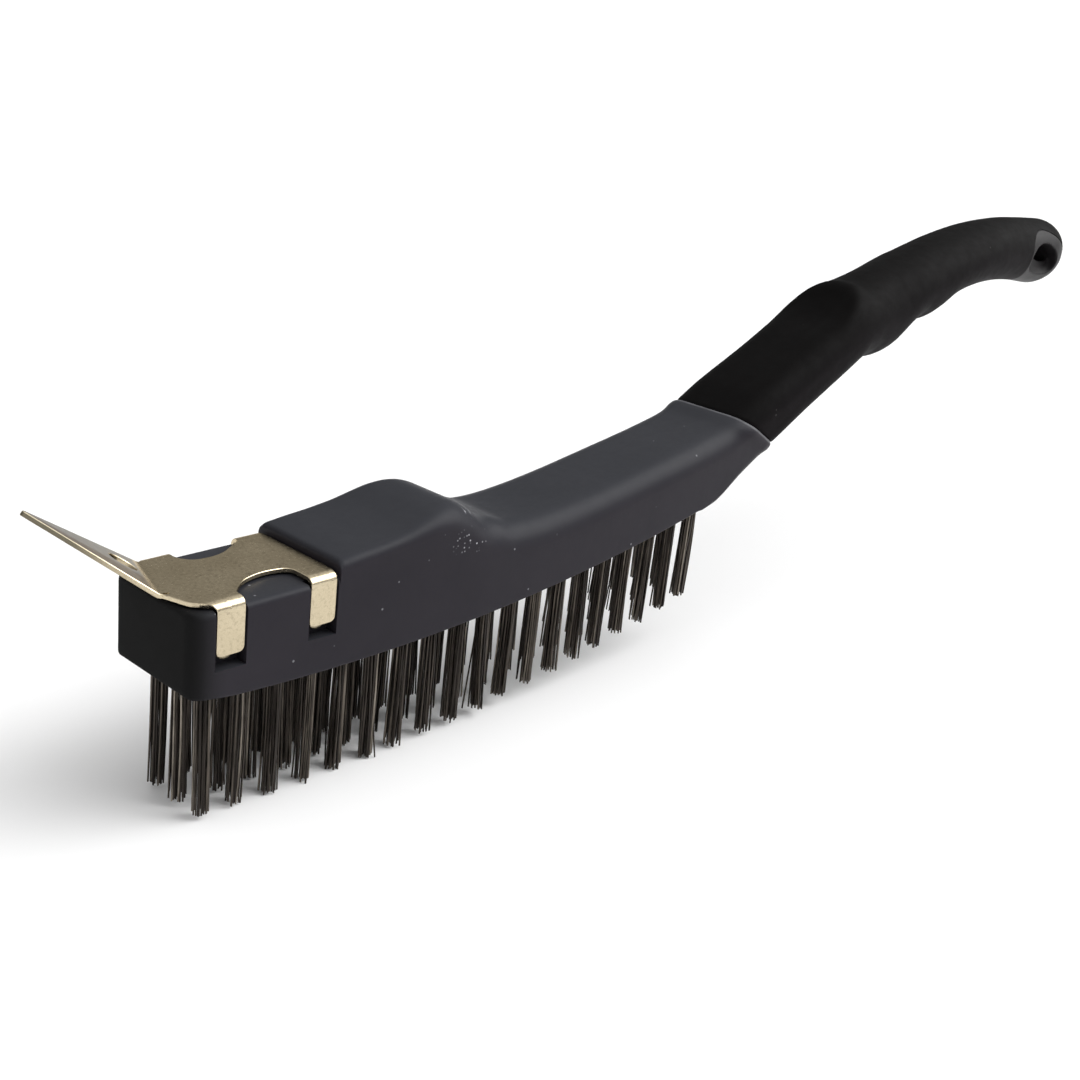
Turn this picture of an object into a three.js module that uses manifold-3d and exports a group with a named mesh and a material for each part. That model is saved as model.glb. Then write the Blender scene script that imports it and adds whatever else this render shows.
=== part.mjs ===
// Long-handled grill cleaning brush: moulded block and handle core, soft grip sleeve,
// folded sheet-metal scraper clip and 57 wire tufts in three rows.
// Millimetres, +Z up, the nose towards -X and the hanging hole towards +X.
import * as THREE from 'three';
import { mergeVertices } from 'three/addons/utils/BufferGeometryUtils.js';
import Module from 'manifold-3d';

const wasm = await Module();
wasm.setup();

// ---- driving dimensions ----
const HALF_WIDTH = 12.9;          // block and handle, from the middle to a side face
const NOSE_RADIUS = 3;            // upright corners of the nose
const NOSE_X = -1.3;              // front face of the nose
const TAIL_END = 346.5;            // end of the handle
const TAIL_ROUND = 14.5;           // length over which the tail closes
const TAIL_Z = 66.6;              // height of the tail's middle
const GAP = 0.3;                  // clearance between pieces that touch

const SEAT_END = 30.9;            // rear wall of the clip's seat
const SEAT_Z = 17.05;             // top of the plastic under the clip, at the nose
const PLATE_SLOPE = 0.018;        // the seat climbs slightly towards the hump
const PLATE_TOP = 18.35;          // top of the clip's plate, at the nose
const SHEET = 0.9;                // clip sheet thickness
const TAB_FACE = 12.75;          // outer face of the clip's tabs
const TAB_WIDTH = 5.9;
const TAB_STARTS = [3.8, 24.3];
const TAB_FOOT = 7.8;             // height of the tab ends
const TAB_RISE = 0.04;            // the rear tabs end slightly higher
const BEND_RADIUS = 1.8;          // outer radius of the tab bends
const POCKET_DROP = 2.6;          // pocket below each tab end
const POCKET_DEPTH = 2.9;

const COLUMNS = 19;
const ROW_Y = [-6.9, 0, 6.9];
const ROW_NAMES = ['near', 'middle', 'far'];
const PITCH = 8;
const FIRST_COLUMN = 5.2;
const TUFT_REACH = 26.4;          // free length below the block
const TUFT_RADIUS = 1.65;
const TUFT_SPREAD = 1.8;          // radius at the free end
const HOLE_RADIUS = 2.1;
const HOLE_DEPTH = 11;
const ANCHOR = [3.4, 0.6, 2.2];   // flat wire that staples the folded wires into the block

const SLEEVE_WALL = 2.4;
const JOINT_TILT = 1.04;          // the sleeve's front edge leans back, radians from upright
const SLEEVE_START = [161, 31.6];  
const WINDOW = [329, 63.2];       // oval in the tail's sides where the hard moulding shows
const WINDOW_RADII = [18, 10];
const WINDOW_TILT = -0.35;        // it drops towards the end of the tail, radians

const EYE = [324.6, 66.1];        // centre of the hanging hole
const EYE_RIM = [10.6, 4.8];      // half-axes where it opens in the sides
const EYE_THROAT = [6.6, 3.7];    // half-axes at the middle

// ---- curves ----
const clamp01 = (t) => Math.min(1, Math.max(0, t));
const smooth = (a, b, x) => {
  const t = clamp01((x - a) / (b - a));
  return t * t * (3 - 2 * t);
};

// smooth line through [x, value] points
function through(points) {
  const slope = points.map((p, i) => {
    const a = points[Math.max(0, i - 1)];
    const b = points[Math.min(points.length - 1, i + 1)];
    return (b[1] - a[1]) / (b[0] - a[0]);
  });
  return (x) => {
    if (x <= points[0][0]) return points[0][1];
    const last = points.length - 1;
    if (x >= points[last][0]) return points[last][1];
    const i = points.findIndex((p) => p[0] > x) - 1;
    const [a, b] = [points[i], points[i + 1]];
    const h = b[0] - a[0];
    const t = (x - a[0]) / h;
    const t2 = t * t;
    const t3 = t2 * t;
    return (2 * t3 - 3 * t2 + 1) * a[1] + (t3 - 2 * t2 + t) * h * slope[i]
      + (3 * t2 - 2 * t3) * b[1] + (t3 - t2) * h * slope[i + 1];
  };
}

// top line along the middle: hump, valley, rising handle, round grip, drooping tail
const topLine = through([[30, 20.6], [36, 21.4], [42, 22], [48, 23], [53, 24.4], [57, 25.5], [62, 26.1],
  [66, 24.8], [71, 21.5], [76, 20], [80, 18.9], [90, 19], [105, 20.8], [125, 24.2],
  [145, 27.9], [157, 31], [170, 37.4], [190, 46.6], [205, 54.9], [214, 59.9], [224, 62.9],
  [240, 66.9], [260, 71.6], [285, 76.1], [305, 77.7], [320, 77.6], [332, 77.2]]);
// underside: gently arched brush face, rising handle with two finger ridges, tail
const brushFace = (x) => {
  const s = x / 150;
  const nose = 0.5 * (1 - smooth(-1, 9, x));
  return nose - 11.2 * s + 26.4 * s * s - 3.5 * s * s * s;
};
const underLine = through([[145, 10.3], [152, 12.3], [162, 16.5], [175, 22.6], [190, 29.8], [205, 36.2],
  [215, 39.5], [221, 40.4], [228, 40], [234, 41.4], [241, 46], [247, 48.9], [253, 49],
  [259, 50.8], [266, 54], [275, 56.2], [288, 57.8], [303, 58.3], [318, 57.6], [332, 56]]);
const bodyWidth = through([[160, 12.9], [200, 13.1], [215, 13.1], [230, 12.4], [260, 12], [290, 11.4],
  [329, 10]]);
// rounding of the long edges
const topRound = through([[0, 1.4], [30.8, 1.4], [31.5, 2], [46, 2.2], [57, 4], [64, 6.5], [71, 6.5], [80, 6],
  [100, 6], [150, 6], [190, 7], [208, 9], [222, 12.4]]);
const underRound = through([[0, 0.8], [150, 0.8], [162, 4], [180, 6], [205, 8], [222, 12.4]]);

// share of the full section left at x, where the tail closes
function tailFactor(x, inset) {
  const t = clamp01((x - (TAIL_END - TAIL_ROUND)) / (TAIL_ROUND - inset));
  return Math.sqrt(Math.max(0, 1 - t * t));
}

const topAt = (x) => (x < SEAT_END ? SEAT_Z + PLATE_SLOPE * x : topLine(x));

// one closed section across the body at x, shrunk by inset
function section(x, inset = 0, corner = 5) {
  const inNose = Math.max(0, NOSE_RADIUS - (x - NOSE_X));
  const nose = Math.sqrt(NOSE_RADIUS ** 2 - inNose ** 2);
  const tail = tailFactor(x, inset);
  const w = (bodyWidth(x) - NOSE_RADIUS + nose - inset) * tail;
  const low = (x < 145 ? brushFace(x) : underLine(x)) + inset;
  const floor = x > 300 ? TAIL_Z + (low - TAIL_Z) * tail : low;
  const middle = topAt(x);
  const roof = x > 300 ? TAIL_Z + (middle - inset - TAIL_Z) * tail : middle - inset;
  const half = (roof - floor) / 2;
  const rt = Math.min(Math.max(0.3, topRound(x) - inset), w);
  const ru = Math.min(Math.max(0.3, underRound(x) - inset), w);
  const ring = [];
  const arc = (cy, ry, cz, rz, from, to) => {
    for (let i = 0; i <= corner; i++) {
      const a = from + (to - from) * i / corner;
      ring.push([x, cy + ry * Math.cos(a), cz + rz * Math.sin(a)]);
    }
  };
  const rtz = Math.min(rt, half);
  const ruz = Math.min(ru, half);
  arc(w - rt, rt, roof - rtz, rtz, 0, Math.PI / 2);
  const flat = w - rt;
  for (let i = 1; i < 6; i++) ring.push([x, flat * (1 - i / 3), roof]);
  arc(-(w - rt), rt, roof - rtz, rtz, Math.PI / 2, Math.PI);
  arc(-(w - ru), ru, floor + ruz, ruz, Math.PI, 1.5 * Math.PI);
  ring.push([x, 0, floor]);
  arc(w - ru, ru, floor + ruz, ruz, 1.5 * Math.PI, 2 * Math.PI);
  return ring;
}

// ---- solids ----
// closed mesh between sections, capped at both ends
function loft(rings) {
  const n = rings[0].length;
  const pos = rings.flat(2);
  const index = [];
  for (let s = 0; s + 1 < rings.length; s++) {
    for (let i = 0; i < n; i++) {
      const j = (i + 1) % n;
      const [a, b, c, d] = [s * n + i, s * n + j, (s + 1) * n + j, (s + 1) * n + i];
      index.push(a, b, c, a, c, d);
    }
  }
  const cap = (start, flip) => {
    const ring = rings[start / n];
    const mid = [0, 1, 2].map((k) => ring.reduce((sum, p) => sum + p[k], 0) / n);
    const m = pos.length / 3;
    pos.push(...mid);
    for (let i = 0; i < n; i++) {
      const [a, b] = [start + i, start + (i + 1) % n];
      index.push(...(flip ? [m, b, a] : [m, a, b]));
    }
  };
  cap(0, true);
  cap((rings.length - 1) * n, false);
  const geometry = new THREE.BufferGeometry();
  geometry.setAttribute('position', new THREE.Float32BufferAttribute(pos, 3));
  geometry.setIndex(index);
  return geometry;
}

function solid(geometry, matrix = new THREE.Matrix4()) {
  const g = geometry.clone().applyMatrix4(matrix);
  g.deleteAttribute('normal');
  g.deleteAttribute('uv');
  const welded = mergeVertices(g, 1e-4);
  return new wasm.Manifold(new wasm.Mesh({
    numProp: 3,
    vertProperties: new Float32Array(welded.attributes.position.array),
    triVerts: new Uint32Array(welded.index.array),
  }));
}

function geometryOf(manifold) {
  const mesh = manifold.getMesh();
  const geometry = new THREE.BufferGeometry();
  geometry.setAttribute('position', new THREE.Float32BufferAttribute(mesh.vertProperties, 3));
  geometry.setIndex(Array.from(mesh.triVerts));
  return geometry;
}

const at = (x, y, z) => new THREE.Matrix4().makeTranslation(x, y, z);
const boxAt = (x, y, z, dx, dy, dz) => solid(new THREE.BoxGeometry(dx, dy, dz), at(x, y, z));
const steps = (from, to, count) => Array.from({ length: count + 1 }, (_, i) => from + (to - from) * i / count);

const plateTop = (x) => PLATE_TOP + PLATE_SLOPE * x;
const tabFoot = (x) => TAB_FOOT + TAB_RISE * x;

// ---- block, handle core and tail as one moulding ----
function bodyStations() {
  return [
    ...[0, 0.3, 0.9, 1.8, 3].map((d) => NOSE_X + d), ...steps(9, SEAT_END - 0.05, 3),
    SEAT_END + 0.05, SEAT_END + 0.5,
    ...steps(33, 150, 39), ...steps(155, 215, 12), ...steps(219, 331, 28), ...tailStations(0),
  ];
}

function tailStations(inset) {
  const length = TAIL_ROUND - inset;
  return steps(0.25, 0.98, 6).map((t) => TAIL_END - TAIL_ROUND + length * Math.sin(t * Math.PI / 2));
}

// half space in front of a plane that leans by tilt at [x, z]
function frontOf([x, z], tilt, offset) {
  const size = 400;
  const m = at(x, 0, z)
    .multiply(new THREE.Matrix4().makeRotationY(-tilt))
    .multiply(at(-size / 2 + offset, 0, 0));
  return solid(new THREE.BoxGeometry(size, 80, 2 * size), m);
}

function eyeCutter() {
  const rings = [-16, -10, -6.5, -3, 0, 3, 6.5, 10, 16].map((y) => {
    const t = clamp01(Math.abs(y) / 10) ** 1.6;
    return steps(0, 23, 23).map((i) => {
      const a = -i * Math.PI / 12;
      return [
        EYE[0] + (EYE_THROAT[0] + (EYE_RIM[0] - EYE_THROAT[0]) * t) * Math.cos(a), y,
        EYE[1] + (EYE_THROAT[1] + (EYE_RIM[1] - EYE_THROAT[1]) * t) * Math.sin(a),
      ];
    });
  });
  return solid(loft(rings));
}

function pockets() {
  const list = [];
  for (const start of TAB_STARTS) {
    const x = start + TAB_WIDTH / 2;
    const low = tabFoot(x) - POCKET_DROP;
    const high = 30;
    for (const side of [-1, 1]) {
      const y = side * (HALF_WIDTH + 1 - POCKET_DEPTH / 2);
      const top = x < SEAT_END ? SEAT_Z + 2 : high;
      list.push(boxAt(x, y, (low + top) / 2, TAB_WIDTH + 0.8, POCKET_DEPTH + 2, top - low));
    }
  }
  return list;
}

function tuftHoles() {
  const list = [];
  for (let i = 0; i < COLUMNS; i++) {
    const x = FIRST_COLUMN + PITCH * i;
    const z = brushFace(x);
    for (const y of ROW_Y) {
      const hole = new THREE.CylinderGeometry(HOLE_RADIUS, HOLE_RADIUS, HOLE_DEPTH + 1, 10);
      hole.rotateX(Math.PI / 2);
      list.push(solid(hole, at(x, y, z + (HOLE_DEPTH - 1) / 2)));
    }
  }
  return list;
}

// oval bar across the tail, larger or smaller by grow
function tailWindow(grow) {
  const bar = new THREE.CylinderGeometry(1, 1, 60, 40);
  const m = at(WINDOW[0], 0, WINDOW[1])
    .multiply(new THREE.Matrix4().makeRotationY(-WINDOW_TILT))
    .multiply(new THREE.Matrix4().makeScale(WINDOW_RADII[0] + grow, 1, WINDOW_RADII[1] + grow));
  return solid(bar, m);
}

const outer = solid(loft(bodyStations().map((x) => section(x))));

function handleCore() {
  const depth = SLEEVE_WALL + GAP;
  const stations = [...steps(140, 330, 38), ...tailStations(depth)];
  const bar = solid(loft(stations.map((x) => section(x, depth, 3))));
  let body = outer.intersect(frontOf(SLEEVE_START, JOINT_TILT, -GAP / 2));
  body = body.add(outer.intersect(tailWindow(-GAP / 2))).add(bar);
  body = body.subtract(eyeCutter());
  for (const cutter of [...pockets(), ...tuftHoles()]) body = body.subtract(cutter);
  return body;
}

function gripSleeve() {
  const stations = [...steps(135, 330, 39), ...tailStations(SLEEVE_WALL)];
  const bore = solid(loft(stations.map((x) => section(x, SLEEVE_WALL, 3))));
  const front = frontOf(SLEEVE_START, JOINT_TILT, GAP / 2);
  return outer.subtract(front).subtract(bore).subtract(tailWindow(GAP / 2));
}

// ---- scraper clip ----
const WAIST = [19, 5.9];          // deepest point of the side cut-outs, from the middle line
const PLATE_REAR = 30.4;          // rear edge of the plate
const FOLD_FAR = [2.7, 11.4];     // ends of the fold where the blade leaves the plate
const FOLD_NEAR = [-1.9, -4.2];
const NOTCH = [-0.3, -4.6];       // relief beside the fold
const BLADE_TIP = [-19.9, 10, 32.8];
const BLADE_HOLE = 3;             // radius of the hole in the blade

// half of the plate's outline, from its front edge to its rear edge; side is -1 or 1
function plateSide(side, start) {
  const edge = TAB_FACE - BEND_RADIUS;
  const [front, rear] = TAB_STARTS;
  const path = new THREE.Path();
  path.moveTo(start, side * edge);
  path.lineTo(front + TAB_WIDTH, side * edge);
  path.quadraticCurveTo(front + TAB_WIDTH + 0.6, side * 8.6, 13, side * 7);
  path.quadraticCurveTo(16, side * WAIST[1], WAIST[0], side * WAIST[1]);
  path.quadraticCurveTo(rear + 0.2, side * WAIST[1], rear + 0.3, side * 8);
  path.lineTo(rear, side * edge);
  path.lineTo(PLATE_REAR, side * edge);
  return path.getPoints(6);
}

function plateOutline() {
  const near = plateSide(-1, 1.6);
  const far = plateSide(1, FOLD_FAR[0] + 0.6).reverse();
  const front = [new THREE.Vector2(...FOLD_FAR), new THREE.Vector2(...FOLD_NEAR),
    new THREE.Vector2(...NOTCH), new THREE.Vector2(0.3, -8)];
  return new THREE.Shape([...near, ...far, ...front]);
}

// tab: bend, drop, and an inward hook at the foot, as one bent strip
function tabStrip(x, side) {
  const strip = new THREE.Shape();
  const inner = BEND_RADIUS - SHEET;
  const top = plateTop(x);
  const foot = tabFoot(x);
  strip.moveTo(TAB_FACE - BEND_RADIUS - 0.6, top);
  strip.lineTo(TAB_FACE - BEND_RADIUS, top);
  strip.absarc(TAB_FACE - BEND_RADIUS, top - BEND_RADIUS, BEND_RADIUS, Math.PI / 2, 0, true);
  strip.lineTo(TAB_FACE, foot);
  strip.lineTo(TAB_FACE - SHEET, foot);
  strip.lineTo(TAB_FACE - SHEET, top - BEND_RADIUS);
  strip.absarc(TAB_FACE - BEND_RADIUS, top - BEND_RADIUS, inner, 0, Math.PI / 2, false);
  strip.lineTo(TAB_FACE - BEND_RADIUS - 0.6, top - SHEET);
  const extruded = new THREE.ExtrudeGeometry(strip, {
    depth: TAB_WIDTH, bevelEnabled: false, curveSegments: 5,
  });
  const m = new THREE.Matrix4();
  m.makeBasis(new THREE.Vector3(0, side, 0), new THREE.Vector3(0, 0, 1), new THREE.Vector3(side, 0, 0));
  m.setPosition(x - side * TAB_WIDTH / 2, 0, 0);
  const hook = new THREE.CylinderGeometry(1.9, 1.9, 1.4, 14);
  const lug = solid(hook, at(x, side * (TAB_FACE - 1.1), foot + 1.2));
  return solid(extruded, m).add(lug);
}

function blade() {
  const far = new THREE.Vector3(...FOLD_FAR, plateTop(FOLD_FAR[0]));
  const near = new THREE.Vector3(...FOLD_NEAR, plateTop(FOLD_NEAR[0]));
  const tip = new THREE.Vector3(...BLADE_TIP);
  const along = far.clone().sub(near);
  const width = along.length();
  along.normalize();
  const reach = tip.clone().sub(near);
  const across = reach.dot(along);
  const up = new THREE.Vector3().crossVectors(along, reach).normalize();
  const out = new THREE.Vector3().crossVectors(up, along);
  const length = reach.dot(out);
  const shape = new THREE.Shape();
  shape.moveTo(0, -0.5);
  shape.lineTo(width, -0.5);
  shape.lineTo(width, 0);
  shape.lineTo(across + 0.5, length - 0.5);
  shape.lineTo(across, length);
  shape.lineTo(across - 0.5, length - 0.5);
  shape.lineTo(0, 0);
  const hole = new THREE.Path();
  hole.absarc(width * 0.53, length * 0.2, BLADE_HOLE, 0, 2 * Math.PI, true);
  shape.holes.push(hole);
  const extruded = new THREE.ExtrudeGeometry(shape, {
    depth: SHEET, bevelEnabled: false, curveSegments: 16,
  });
  const m = new THREE.Matrix4().makeBasis(along, out, up);
  m.setPosition(near.clone().addScaledVector(up, -SHEET));
  return solid(extruded, m);
}

function scraperClip() {
  const plate = new THREE.ExtrudeGeometry(plateOutline(), {
    depth: SHEET, bevelEnabled: false, curveSegments: 8,
  });
  const tilt = new THREE.Matrix4().makeRotationY(-Math.atan(PLATE_SLOPE));
  let clip = solid(plate, at(0, 0, PLATE_TOP - SHEET).multiply(tilt)).add(blade());
  for (const start of TAB_STARTS) {
    for (const side of [-1, 1]) clip = clip.add(tabStrip(start + TAB_WIDTH / 2, side));
  }
  return clip;
}

// ---- wire tufts ----
function tuft() {
  const buried = HOLE_DEPTH - 0.6;
  const bundle = new THREE.CylinderGeometry(TUFT_RADIUS, TUFT_SPREAD, TUFT_REACH + buried, 8);
  bundle.rotateX(Math.PI / 2);
  const wires = solid(bundle, at(0, 0, (buried - TUFT_REACH) / 2));
  const anchor = boxAt(0, 0, buried - ANCHOR[2] / 2 - 1, ...ANCHOR);
  return wires.add(anchor);
}

// ---- the assembly ----
const PLASTIC = { color: 0x33363d, roughness: 0.5, metalness: 0 };
const SOFT = { color: 0x17171a, roughness: 0.75, metalness: 0 };
const NICKEL = { color: 0xa79f90, roughness: 0.3, metalness: 1 };
const WIRE = { color: 0x4a433c, roughness: 0.5, metalness: 1 };

const brush = new THREE.Group();

function addPiece(name, geometry, look, position = [0, 0, 0]) {
  const mesh = new THREE.Mesh(geometry, new THREE.MeshStandardMaterial(look));
  mesh.name = name;
  mesh.position.set(...position);
  brush.add(mesh);
}

addPiece('body_core', geometryOf(handleCore()), PLASTIC);
addPiece('grip_sleeve', geometryOf(gripSleeve()), SOFT);
addPiece('scraper_clip', geometryOf(scraperClip()), NICKEL);
const tuftGeometry = geometryOf(tuft());
for (let i = 0; i < COLUMNS; i++) {
  const x = FIRST_COLUMN + PITCH * i;
  const column = String(i + 1).padStart(2, '0');
  ROW_Y.forEach((y, row) => {
    addPiece(`tuft_${ROW_NAMES[row]}_${column}`, tuftGeometry, WIRE, [x, y, brushFace(x)]);
  });
}

// the origin is under the middle of the brush, on the surface its wires stand on
const bounds = new THREE.Box3().setFromObject(brush);
const middle = bounds.getCenter(new THREE.Vector3());
brush.position.set(-middle.x, -middle.y, -bounds.min.z);

const model = new THREE.Group();
model.add(brush);
export default model;
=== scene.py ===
import math

import bmesh
import bpy
import numpy as np
from mathutils import Matrix, Vector
from mathutils.geometry import delaunay_2d_cdt


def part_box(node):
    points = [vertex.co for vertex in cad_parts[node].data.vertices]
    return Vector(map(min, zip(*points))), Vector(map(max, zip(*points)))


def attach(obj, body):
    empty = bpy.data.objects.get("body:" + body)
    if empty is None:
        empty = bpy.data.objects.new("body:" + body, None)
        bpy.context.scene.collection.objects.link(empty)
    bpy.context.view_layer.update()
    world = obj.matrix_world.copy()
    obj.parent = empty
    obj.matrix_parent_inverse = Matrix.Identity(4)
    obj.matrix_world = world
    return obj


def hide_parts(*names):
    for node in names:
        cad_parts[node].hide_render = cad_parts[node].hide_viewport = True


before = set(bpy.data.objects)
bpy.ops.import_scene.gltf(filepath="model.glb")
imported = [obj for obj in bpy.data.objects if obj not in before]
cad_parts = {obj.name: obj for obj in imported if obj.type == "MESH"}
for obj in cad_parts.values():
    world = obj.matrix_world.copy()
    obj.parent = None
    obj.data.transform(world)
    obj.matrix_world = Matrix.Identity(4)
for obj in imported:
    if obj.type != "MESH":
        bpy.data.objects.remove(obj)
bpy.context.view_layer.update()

# ---- dimensions shared with the CAD part, mm ----
HALF_WIDTH = 12.9
NOSE_RADIUS = 3.0
NOSE_X = -1.3
TAIL_END = 346.5
TAIL_ROUND = 14.5
TAIL_Z = 66.6
SEAT_END = 30.9
SEAT_Z = 17.05
SLOPE = 0.018
PLATE_TOP = 18.35
SHEET = 0.9
TAB_FACE = 12.75
TAB_WIDTH = 5.9
TAB_STARTS = (3.8, 24.3)
TAB_FOOT = 7.8
TAB_RISE = 0.04
BEND = 1.8
POCKET_DROP = 2.6
POCKET_DEPTH = 2.9
COLUMNS = 19
ROWS = (("near", -6.9), ("middle", 0.0), ("far", 6.9))
PITCH = 8.0
FIRST = 5.2
REACH = 26.4
BURIED = 10.4
HOLE_DEPTH = 11.0
JOINT = (161.0, 31.6)
JOINT_TILT = 1.04
WINDOW_TILT = -0.35

# ---- dimensions that differ from the CAD part or are only here, mm ----
WINDOW = (327.4, 63.8)
WINDOW_RADII = (16.3, 10.0)
HOLE_RADIUS = 2.0
POCKET_PLAY = 0.35
POCKET_TOP = 26.0
# hanging hole, as ovals in the side view: centre x and z, half-lengths, turn
EYE_WIDE = (324.5, 66.1, 13.5, 7.0, 0.0)
EYE_RIM = (323.4, 64.9, 10.2, 5.8, -0.12)
EYE_LIP = (326.4, 67.3, 7.0, 2.6, -0.22)
EYE_BORE = (326.2, 66.6, 7.4, 3.6, -0.16)
# hole in the blade, from the near end of the fold: place and half-lengths along it and out from it
BLADE_HOLE = (9.4, 4.8)
BLADE_HOLE_HALF = (1.9, 3.0)
CUT_EDGE = 0.11
LUG_INSET = 1.5
LUG_RISE = 0.5


def smooth(a, b, x):
    t = np.clip((x - a) / (b - a), 0, 1)
    return t * t * (3 - 2 * t)


def brush_face(x):
    x = np.asarray(x, float)
    s = x / 150
    return 0.5 * (1 - smooth(-1, 9, x)) - 11.2 * s + 26.4 * s * s - 3.5 * s**3


# the design frame starts at the nose; the part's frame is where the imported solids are
body_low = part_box("body_core")[0]
tuft_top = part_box("tuft_middle_01")[1]
SHIFT = np.array(
    [
        body_low.x * 1000 - NOSE_X,
        0.0,
        tuft_top.z * 1000 - float(brush_face(FIRST)) - BURIED,
    ]
)


def place(points):
    """Design millimetres to metres in the part's frame."""
    return (np.asarray(points, float).reshape(-1, 3) + SHIFT) / 1000


# ---- smooth profile curves ----
def through(points):
    p = np.array(points, float)
    before = p[np.maximum(0, np.arange(len(p)) - 1)]
    after = p[np.minimum(len(p) - 1, np.arange(len(p)) + 1)]
    slope = (after[:, 1] - before[:, 1]) / (after[:, 0] - before[:, 0])

    def curve(x):
        x = np.clip(np.asarray(x, float), p[0, 0], p[-1, 0])
        i = np.clip(np.searchsorted(p[:, 0], x, side="right") - 1, 0, len(p) - 2)
        h = p[i + 1, 0] - p[i, 0]
        t = (x - p[i, 0]) / h
        t2, t3 = t * t, t**3
        return (
            (2 * t3 - 3 * t2 + 1) * p[i, 1]
            + (t3 - 2 * t2 + t) * h * slope[i]
            + (3 * t2 - 2 * t3) * p[i + 1, 1]
            + (t3 - t2) * h * slope[i + 1]
        )

    return curve


top_line = through(
    [(30, 20.6), (36, 21.4), (42, 22), (48, 23), (53, 24.4), (57, 25.5), (62, 26.1), (66, 24.8),
     (71, 21.5), (76, 20), (80, 18.9), (90, 19), (105, 20.8), (125, 24.2), (145, 27.9), (157, 31),
     (170, 37.4), (190, 46.6), (205, 54.9), (214, 59.9), (224, 62.9), (240, 66.9), (260, 71.6),
     (285, 76.1), (305, 77.7), (320, 77.6), (332, 77.2)]
)
under_line = through(
    [(145, 10.3), (152, 12.3), (162, 16.5), (175, 22.6), (190, 29.8), (205, 36.2), (215, 39.5),
     (221, 40.4), (228, 40), (234, 41.4), (241, 46), (247, 48.9), (253, 49), (259, 50.8), (266, 54),
     (275, 56.2), (288, 57.8), (303, 58.3), (318, 57.6), (332, 56)]
)
body_width = through(
    [(160, 12.9), (200, 13.1), (215, 13.1), (230, 12.4), (260, 12), (290, 11.4), (329, 10)]
)
top_round = through(
    [(0, 1.4), (30.8, 1.4), (31.5, 2), (46, 2.2), (57, 4), (64, 6.5), (71, 6.5), (80, 6),
     (100, 6), (150, 6), (190, 7), (208, 9), (222, 12.4)]
)
under_round = through([(0, 0.8), (150, 0.8), (162, 4), (180, 6), (205, 8), (222, 12.4)])


def eased(depth, radius):
    """How far a rounded edge has dropped at this distance in from its face."""
    d = np.clip(radius - depth, 0, radius)
    return radius - np.sqrt(radius**2 - d * d)


def top_at(x):
    seat = SEAT_Z + SLOPE * x
    hump = top_line(x) - eased(x - SEAT_END, 1.2) * (x >= SEAT_END)
    return np.where(x < SEAT_END, seat, hump)


def ring_plan(corner=12, side=8, flat=14):
    """Points round a section: kind, share along it. Kinds 0 2 3 5 are corners, the rest straight."""
    plan = []
    for kind, count in ((0, corner), (1, flat), (2, corner), (6, side), (3, corner), (4, flat),
                        (5, corner), (7, side)):
        plan += [(kind, i / count) for i in range(count)]
    return np.array(plan)


def thumb(x, y):
    """Shallow dish on top of the grip and the raised arc behind it."""
    dish = -1.5 * np.exp(-(((x - 203.5) / 7.5) ** 2) - (y / 8.5) ** 2)
    reach = np.sqrt((x - 203) ** 2 + (1.15 * y) ** 2)
    rim = 1.1 * np.exp(-(((reach - 12.3) / 2.6) ** 2)) * smooth(199, 207, x)
    return dish + rim


def surface(x, plan):
    """y and z of the outer surface at x for each ring point. x and plan have the same length."""
    kind, share = plan[:, 0].astype(int), plan[:, 1]
    inside = np.clip(NOSE_RADIUS - (x - NOSE_X), 0, NOSE_RADIUS)
    nose = np.sqrt(NOSE_RADIUS**2 - inside**2)
    t = np.clip((x - (TAIL_END - TAIL_ROUND)) / TAIL_ROUND, 0, 1)
    tail = np.sqrt(np.clip(1 - t * t, 0, 1))
    w = (body_width(x) - NOSE_RADIUS + nose) * tail
    low = np.where(x < 145, brush_face(x), under_line(x)) + eased(x - NOSE_X, 1.1)
    low = np.where(x > 300, TAIL_Z + (low - TAIL_Z) * tail, low)
    roof = top_at(x) - eased(x - NOSE_X, 1.1)
    roof = np.where(x > 300, TAIL_Z + (roof - TAIL_Z) * tail, roof)
    half = (roof - low) / 2
    rt = np.minimum(np.maximum(0.02, top_round(x)), w)
    ru = np.minimum(np.maximum(0.02, under_round(x)), w)
    rtz, ruz = np.minimum(rt, half), np.minimum(ru, half)
    y, z = np.zeros_like(x), np.zeros_like(x)
    q = math.pi / 2
    for k, side, start in ((0, 1, 0), (2, -1, q), (3, -1, 2 * q), (5, 1, 3 * q)):
        m = kind == k
        a = start + share[m] * q
        if k in (0, 2):
            y[m] = side * (w[m] - rt[m]) + rt[m] * np.cos(a)
            z[m] = roof[m] - rtz[m] + rtz[m] * np.sin(a)
        else:
            y[m] = side * (w[m] - ru[m]) + ru[m] * np.cos(a)
            z[m] = low[m] + ruz[m] + ruz[m] * np.sin(a)
    m = kind == 1
    y[m], z[m] = (w[m] - rt[m]) * (1 - 2 * share[m]), roof[m]
    m = kind == 4
    y[m], z[m] = -(w[m] - ru[m]) * (1 - 2 * share[m]), low[m]
    for k, side in ((6, -1), (7, 1)):
        m = kind == k
        f = share[m] if k == 6 else 1 - share[m]
        y[m] = side * w[m]
        z[m] = (roof[m] - rtz[m]) * (1 - f) + (low[m] + ruz[m]) * f
    z += thumb(x, y) * smooth(low + half, roof, z) ** 2 * (x > 180) * (x < 232)
    return y, z


def lean(u):
    """Sections lean back with the joint between the block and the grip, and are upright elsewhere."""
    return math.tan(JOINT_TILT) * smooth(108, 152, u) * (1 - smooth(180, 226, u))


def mid_height(u):
    low = np.where(u < 145, brush_face(u), under_line(u))
    return (top_line(u) + low) / 2


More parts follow.
